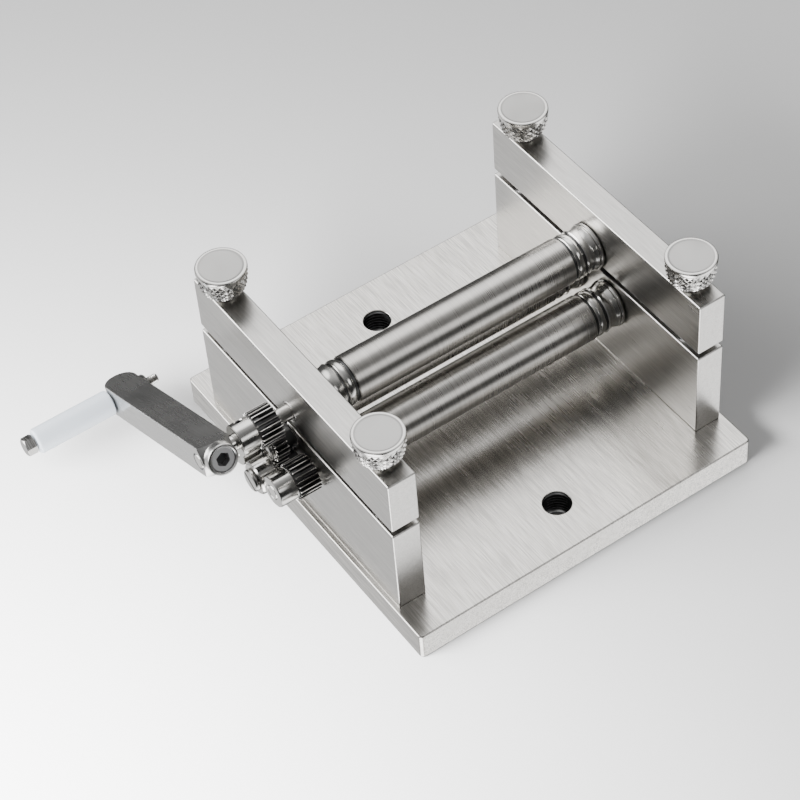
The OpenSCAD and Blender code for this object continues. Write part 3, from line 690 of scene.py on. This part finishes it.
collar = turned([(near_end, 0), (near_end, 4.55 * MM), (near_end + 0.12 * MM, 4.85 * MM),
                 (near_end + 0.4 * MM, near_r), (-3.6 * MM, near_r), (-1.6 * MM, clear_r),
                 (reach.length + 8 * MM, clear_r), (reach.length + 8 * MM, 0)],
                "y", (arm_mid, 0, 0))
arm = fitted(plan, [collar], "INTERSECT")
clamp_r = 4 * MM
clamp_way_r = clamp_r + 0.03 * MM
screw_bore = turned([(near_end - MM, 0), (near_end - MM, 4.3 * MM), (near_end, 4.25 * MM),
                     (near_end + 0.25 * MM, clamp_way_r), (0, clamp_way_r), (0, 0)],
                    "y", (arm_mid, 0, 0), steps=64)
shaft_bore = drill("x", (0, 0, 0), arm_low.x, arm_high.x, shaft_way_r, 0.25 * MM)
bolt_r = 1.5 * MM
bolt_way_r = bolt_r + 0.03 * MM
past = 0.05 * MM
bolt_bore = drill("x", (0, reach.length, 0), arm_low.x - past, arm_high.x + past, bolt_way_r)
arm = fitted(arm, [screw_bore, shaft_bore, bolt_bore])
bmesh.ops.transform(arm, matrix=crank_place, verts=arm.verts)
arm = piece(arm, "crank_arm", "top_roller", crank_steel)
on_arm = crank_place.inverted()
# Painted shade: the bore round the shaft gets the near-black material.
patch(arm, groove_shade, lambda spot, out: (on_arm @ spot).yz.length < 2.8 * MM)

# Crank screw: a socket set screw in the arm's end, whose point bears on the shaft's flat.
tip = shaft_flat - 0.03 * MM
point_r = clamp_r - 0.4 * MM
blank = turned([(near_end + 0.3 * MM, 0), (near_end + 0.3 * MM, point_r),
                (near_end + 0.7 * MM, clamp_r), (tip - 0.3 * MM, clamp_r), (tip, point_r),
                (tip, 0)], "y", (arm_mid, 0, 0), steps=64)
screw = fitted(blank, [hexagon("y", Vector((arm_mid, 0, 0)), near_end - MM, near_end + 2.7 * MM,
                               4 * MM)])
bmesh.ops.transform(screw, matrix=crank_place, verts=screw.verts)
screw_steel = satin("screw steel", (0.72, 0.72, 0.73), 0.42, "round x", deep=0.03, cloud=0.1,
                    line=0.05, tone=0.2)
screw = piece(screw, "crank_screw", "top_roller", screw_steel)
# Painted shade: the socket's floor and the shank beyond it get the near-black material.
patch(screw, groove_shade, lambda spot, out: (on_arm @ spot).y > near_end + 2.6 * MM)

# Handle bolt and nut: a long hexagon head outside the grip, and a plain nut behind the arm
# with the bolt's threaded end standing out of it.
low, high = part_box("handle_bolt")
bolt_at = Vector((0, reach.length, 0))
flats = 5.5 * MM
head_end = low.x + 3.5 * MM
bolt_pitch = 0.5 * MM


def chamfered(low, high, flats):
    """A length of hexagon bar with its ends faced and their corners turned off."""
    r = flats / 2
    cone = turned([(low, 0), (low, r * 0.95), (low + 0.45 * MM, r * 1.17),
                   (high - 0.45 * MM, r * 1.17), (high, r * 0.95), (high, 0)], "x", bolt_at)
    bar = hexagon("x", bolt_at, low - MM, high + MM, flats)
    return fitted(bar, [cone], "INTERSECT")


head = chamfered(low.x, head_end, flats)
station = arm_high.x + 0.5 * MM
profile = [(head_end - 0.1 * MM, 0), (head_end - 0.1 * MM, bolt_r), (station, bolt_r)]
while station < high.x - 0.9 * MM:
    profile += [(station + bolt_pitch / 2, bolt_r - 0.25 * MM), (station + bolt_pitch, bolt_r)]
    station += bolt_pitch
profile += [(high.x, 1.1 * MM), (high.x, 0)]
bolt = fitted(head, [turned(profile, "x", bolt_at, steps=48)], "UNION")
bmesh.ops.transform(bolt, matrix=crank_place, verts=bolt.verts)
piece(bolt, "handle_bolt", "top_roller", stud_steel)
low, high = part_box("handle_nut")
nut = chamfered(low.x, high.x, flats)
nut = fitted(nut, [drill("x", bolt_at, low.x, high.x, bolt_way_r, 0.3 * MM)])
bmesh.ops.transform(nut, matrix=crank_place, verts=nut.verts)
piece(nut, "handle_nut", "top_roller", stud_steel)

# Handle grip: a pale moulded sleeve that turns on the bolt, softly glossy, its ends rounded.
low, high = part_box("handle_grip")
grip_r = 4.2 * MM
bore_r = 1.58 * MM
sleeve = turned([(low.x, bore_r), (low.x, 3.2 * MM), (low.x + 0.12 * MM, 3.6 * MM),
                 (low.x + 0.35 * MM, 3.92 * MM), (low.x + 0.9 * MM, grip_r),
                 (high.x - 0.5 * MM, grip_r), (high.x - 0.2 * MM, 4.05 * MM),
                 (high.x, 3.75 * MM), (high.x, bore_r), (low.x, bore_r)],
                "x", bolt_at, steps=96)
bmesh.ops.transform(sleeve, matrix=crank_place, verts=sleeve.verts)
grip_plastic = bpy.data.materials.new("grip plastic")
grip_plastic.use_nodes = True
tree = grip_plastic.node_tree
shader = tree.nodes["Principled BSDF"]
shader.inputs["IOR"].default_value = 1.49
shader.inputs["Subsurface Weight"].default_value = 0.08
shader.inputs["Subsurface Radius"].default_value = (2 * MM,) * 3
place = Wire(tree).add("TexCoord", output="Object")
skin = streaks(place, (0.35 * MM,) * 3, 3.0)
flow = streaks(place, (14 * MM, 4 * MM, 4 * MM))
colour = mixed(flow + 0.5, (0.66, 0.72, 0.80, 1), (0.74, 0.79, 0.85, 1))
bump = skin.add("Bump", inputs={"Strength": 0.15, "Distance": 0.02 * MM, "Height": skin})
tree.links.new(colour.socket, shader.inputs["Base Color"])
tree.links.new((skin * 0.08 + flow * 0.08 + 0.36).socket, shader.inputs["Roughness"])
tree.links.new(bump.socket, shader.inputs["Normal"])
grip = piece(sleeve, "handle_grip", "grip", grip_plastic)

# Thumb screws: turned steel screws with a bowl-shaped head, diamond knurled under a plain rim
# and dished flat on top, over a plain neck and a thread that runs down into the block.
# Painted shade: the valleys between the knurl's diamonds, and the body under the knurl, take the near-black
# material in this slot.
valley_shade_slot = 2
thumb_top_steel = satin("thumb screw steel", (0.38, 0.375, 0.365), 0.33, "round z", deep=0.1,
                        cloud=1.2, line=0.3, tone=0.8)
knurl_steel = satin("knurl steel", (0.62, 0.61, 0.59), 0.20, "round z", deep=0.05, cloud=0.2,
                    line=0.1, tone=0.4)
knurl_around = 26
knurl_rows = 5
knurl_high = 0.37 * MM
neck_z = 65.4 * MM
neck_r = 4.48 * MM
head_z = neck_z + 1.4 * MM
for name, at in thumb_at.items():
    low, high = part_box(name)
    r = (high.x - low.x) / 2
    bowl_z = head_z + 0.3 * MM
    rim_z = high.z - 1.7 * MM
    bowl = []
    for k in range(knurl_rows + 1):
        a = math.radians(8 + 82 * k / knurl_rows)
        bowl.append((bowl_z + (rim_z - bowl_z) * (1 - math.cos(a)),
                     r * (0.68 + 0.285 * math.sin(a))))
    shell = bmesh.new()
    points = [shell.verts.new((out, 0, up)) for up, out in bowl]
    wire = [shell.edges.new(pair) for pair in zip(points, points[1:])]
    bmesh.ops.spin(shell, geom=points + wire, cent=(0, 0, 0), axis=(0, 0, 1), angle=math.tau,
                   steps=knurl_around, use_merge=True)
    bmesh.ops.remove_doubles(shell, verts=shell.verts, dist=1e-6)
    bmesh.ops.recalc_face_normals(shell, faces=shell.faces)
    corners = set(shell.verts)
    bmesh.ops.poke(shell, faces=list(shell.faces))
    grid = [e for e in shell.edges if not e.is_boundary and all(v in corners for v in e.verts)]
    bmesh.ops.dissolve_edges(shell, edges=grid, use_verts=False)
    middle = Vector((0, 0, rim_z))
    if sum(f.normal.dot(f.calc_center_median() - middle) for f in shell.faces) < 0:
        bmesh.ops.reverse_faces(shell, faces=list(shell.faces))
    diamonds = [f for f in shell.faces if len(f.verts) == 4]
    for valley in bmesh.ops.inset_individual(shell, faces=diamonds, thickness=0.07 * MM)["faces"]:
        valley.material_index = valley_shade_slot
    bmesh.ops.poke(shell, faces=diamonds, offset=knurl_high)
    rims = [e for e in shell.edges if e.is_boundary]
    bmesh.ops.holes_fill(shell, edges=rims, sides=0)
    bmesh.ops.recalc_face_normals(shell, faces=shell.faces)
    foot_z, foot_r = bowl[0]
    brow_z, brow_r = bowl[-1]
    body = turned([(low.z, 0), (low.z, 2.1 * MM), (low.z + 0.4 * MM, 2.5 * MM),
                   (neck_z, 2.5 * MM), (neck_z, neck_r - 0.18 * MM), (neck_z + 0.15 * MM, neck_r),
                   (head_z - 0.1 * MM, neck_r), (head_z, foot_r - 0.35 * MM),
                   (foot_z - 0.05 * MM, foot_r - 0.05 * MM),
                   (foot_z + 0.05 * MM, foot_r - 0.12 * MM),
                   *[(up, out - 0.12 * MM) for up, out in bowl[1:-1]],
                   (brow_z - 0.05 * MM, brow_r - 0.1 * MM), (brow_z + 0.05 * MM, brow_r + 0.1 * MM),
                   (brow_z + 0.3 * MM, r - 0.06 * MM), (brow_z + 0.6 * MM, r),
                   (high.z - 0.45 * MM, r), (high.z - 0.12 * MM, r - 0.14 * MM),
                   (high.z, r - 0.45 * MM), (high.z, r - 0.95 * MM),
                   (high.z - 0.1 * MM, r - 1.3 * MM), (high.z - 0.2 * MM, r - 1.8 * MM),
                   (high.z - 0.25 * MM, 0)], "z", (0, 0, 0), steps=96)
    body_faces = len(body.faces)
    whole = together([body, shell])
    bmesh.ops.translate(whole, vec=(at.x, at.y, 0), verts=whole.verts)
    thumb = piece(whole, name, name, knurl_steel, smooth=28)
    patch(thumb, thumb_top_steel,
          lambda spot, out: out.z > 0.9 and spot.z > high.z - 0.5 * MM
          and math.hypot(spot.x - at.x, spot.y - at.y) < r - MM)
    # The near-black material for the painted shade in the knurl's valleys.
    thumb.data.materials.append(groove_shade)
    for face in thumb.data.polygons[:body_faces]:
        if head_z < face.center.z < brow_z:
            face.material_index = valley_shade_slot

# Floor: the plain pale surface of the picture, wide enough for every view. It isn't part of
# the machine, and the metals don't mirror it.
floor_mesh = bmesh.new()
bmesh.ops.create_grid(floor_mesh, x_segments=1, y_segments=1, size=6)
mesh = bpy.data.meshes.new("floor")
floor_mesh.to_mesh(mesh)
floor_mesh.free()
floor = bpy.data.objects.new("floor", mesh)
bpy.context.scene.collection.objects.link(floor)
floor.location.z = cad_box[0].z - 0.05 * MM
floor.visible_glossy = False
pale = bpy.data.materials.new("pale floor")
pale.use_nodes = True
shader = pale.node_tree.nodes["Principled BSDF"]
shader.inputs["Base Color"].default_value = (0.42, 0.42, 0.42, 1)
shader.inputs["Roughness"].default_value = 0.9
mesh.materials.append(pale)

# Light: a studio whose ceiling is bright, whose walls fall off to grey and whose front is dim,
# with six soft panels for the metals to mirror. Two soft lamps above the handle light the
# floor and, more weakly, the grip.
world = bpy.data.worlds.new("studio")
bpy.context.scene.world = world
world.use_nodes = True
tree = world.node_tree
background = tree.nodes["Background"]
way = Wire(tree).add("TexCoord", output="Generated")
split = way.add("SeparateXYZ", {}, {"Vector": way}, "Z")
light = split.add("ValToRGB", {"stops": [(0.0, 0.09), (0.30, 0.14), (0.65, 0.36), (0.95, 1.0)]},
                  {"Fac": split})


def around(toward, stops):
    """A level round a direction, by stops on the cosine of the angle away from it."""
    aim = way.add("VectorMath", {"operation": "DOT_PRODUCT"}, {0: way, 1: toward}, "Value")
    return aim.add("ValToRGB", {"stops": stops}, {"Fac": aim})


light = light * around((0.2, -0.75, 0.63), [(0.35, 1.0), (0.85, 0.3)])
for toward, edge, full, level in (((0.366, 0.564, 0.741), 0.86, 0.98, 2.5),
                                  ((-0.741, 0.564, 0.366), 0.82, 0.96, 10.0),
                                  ((0.366, -0.741, 0.564), 0.965, 0.995, 2.5),
                                  ((-0.366, 0.564, -0.741), 0.75, 0.97, 1.1),
                                  ((0.366, -0.564, -0.741), 0.75, 0.97, 2.8),
                                  ((-0.564, -0.366, -0.741), 0.88, 0.97, 8.0)):
    light = light + around(toward, [(edge, 0.0), (full, 1.0)]) * level
tree.links.new(light.socket, background.inputs["Color"])
lamp_at = Vector((-0.32, -0.04, 0.24))
lamp_aim = Vector((-0.36, -0.08, 0))
lamp_size = 0.23


def lamp(name, power, lit):
    """A square soft light above the handle, which lights one thing only."""
    data = bpy.data.lights.new(name, "AREA")
    data.size = lamp_size
    data.energy = power
    thing = bpy.data.objects.new(name, data)
    bpy.context.scene.collection.objects.link(thing)
    thing.location = lamp_at
    thing.rotation_mode = "QUATERNION"
    thing.rotation_quaternion = (lamp_aim - lamp_at).to_track_quat("-Z", "Y")
    thing.visible_camera = False
    thing.visible_glossy = False
    thing.light_linking.receiver_collection = bpy.data.collections.new("lit by " + name)
    thing.light_linking.receiver_collection.objects.link(lit)


lamp("floor lamp", 21.5, floor)
lamp("grip lamp", 3.2, grip)

# Camera: the picture's own view with a long lens, high from the front left, as fitted to the
# machine's edges. It looks past a point on the machine's axis, by a slide and a rise in mm.
azimuth, elevation, roll = math.radians(-30.87), math.radians(48.25), math.radians(-5.25)
axis_z, slide, rise, distance = 26.04, -19.18, -7.93, 792.5
back = Vector((math.sin(azimuth) * math.cos(elevation), -math.cos(azimuth) * math.cos(elevation),
               math.sin(elevation)))
right = Vector((math.cos(azimuth), math.sin(azimuth), 0))
up = back.cross(right)
right, up = (right * math.cos(roll) + up * math.sin(roll),
             up * math.cos(roll) - right * math.sin(roll))
eye = (Vector((0, 0, axis_z)) + right * slide + up * rise + back * distance) * MM
camera_data = bpy.data.cameras.new("camera")
camera_data.lens = 114.84
camera_data.sensor_width = 36
camera_data.clip_start = 0.01
camera = bpy.data.objects.new("camera", camera_data)
bpy.context.scene.collection.objects.link(camera)
camera.matrix_world = Matrix.Translation(eye) @ Matrix((right, up, back)).transposed().to_4x4()
bpy.context.scene.camera = camera
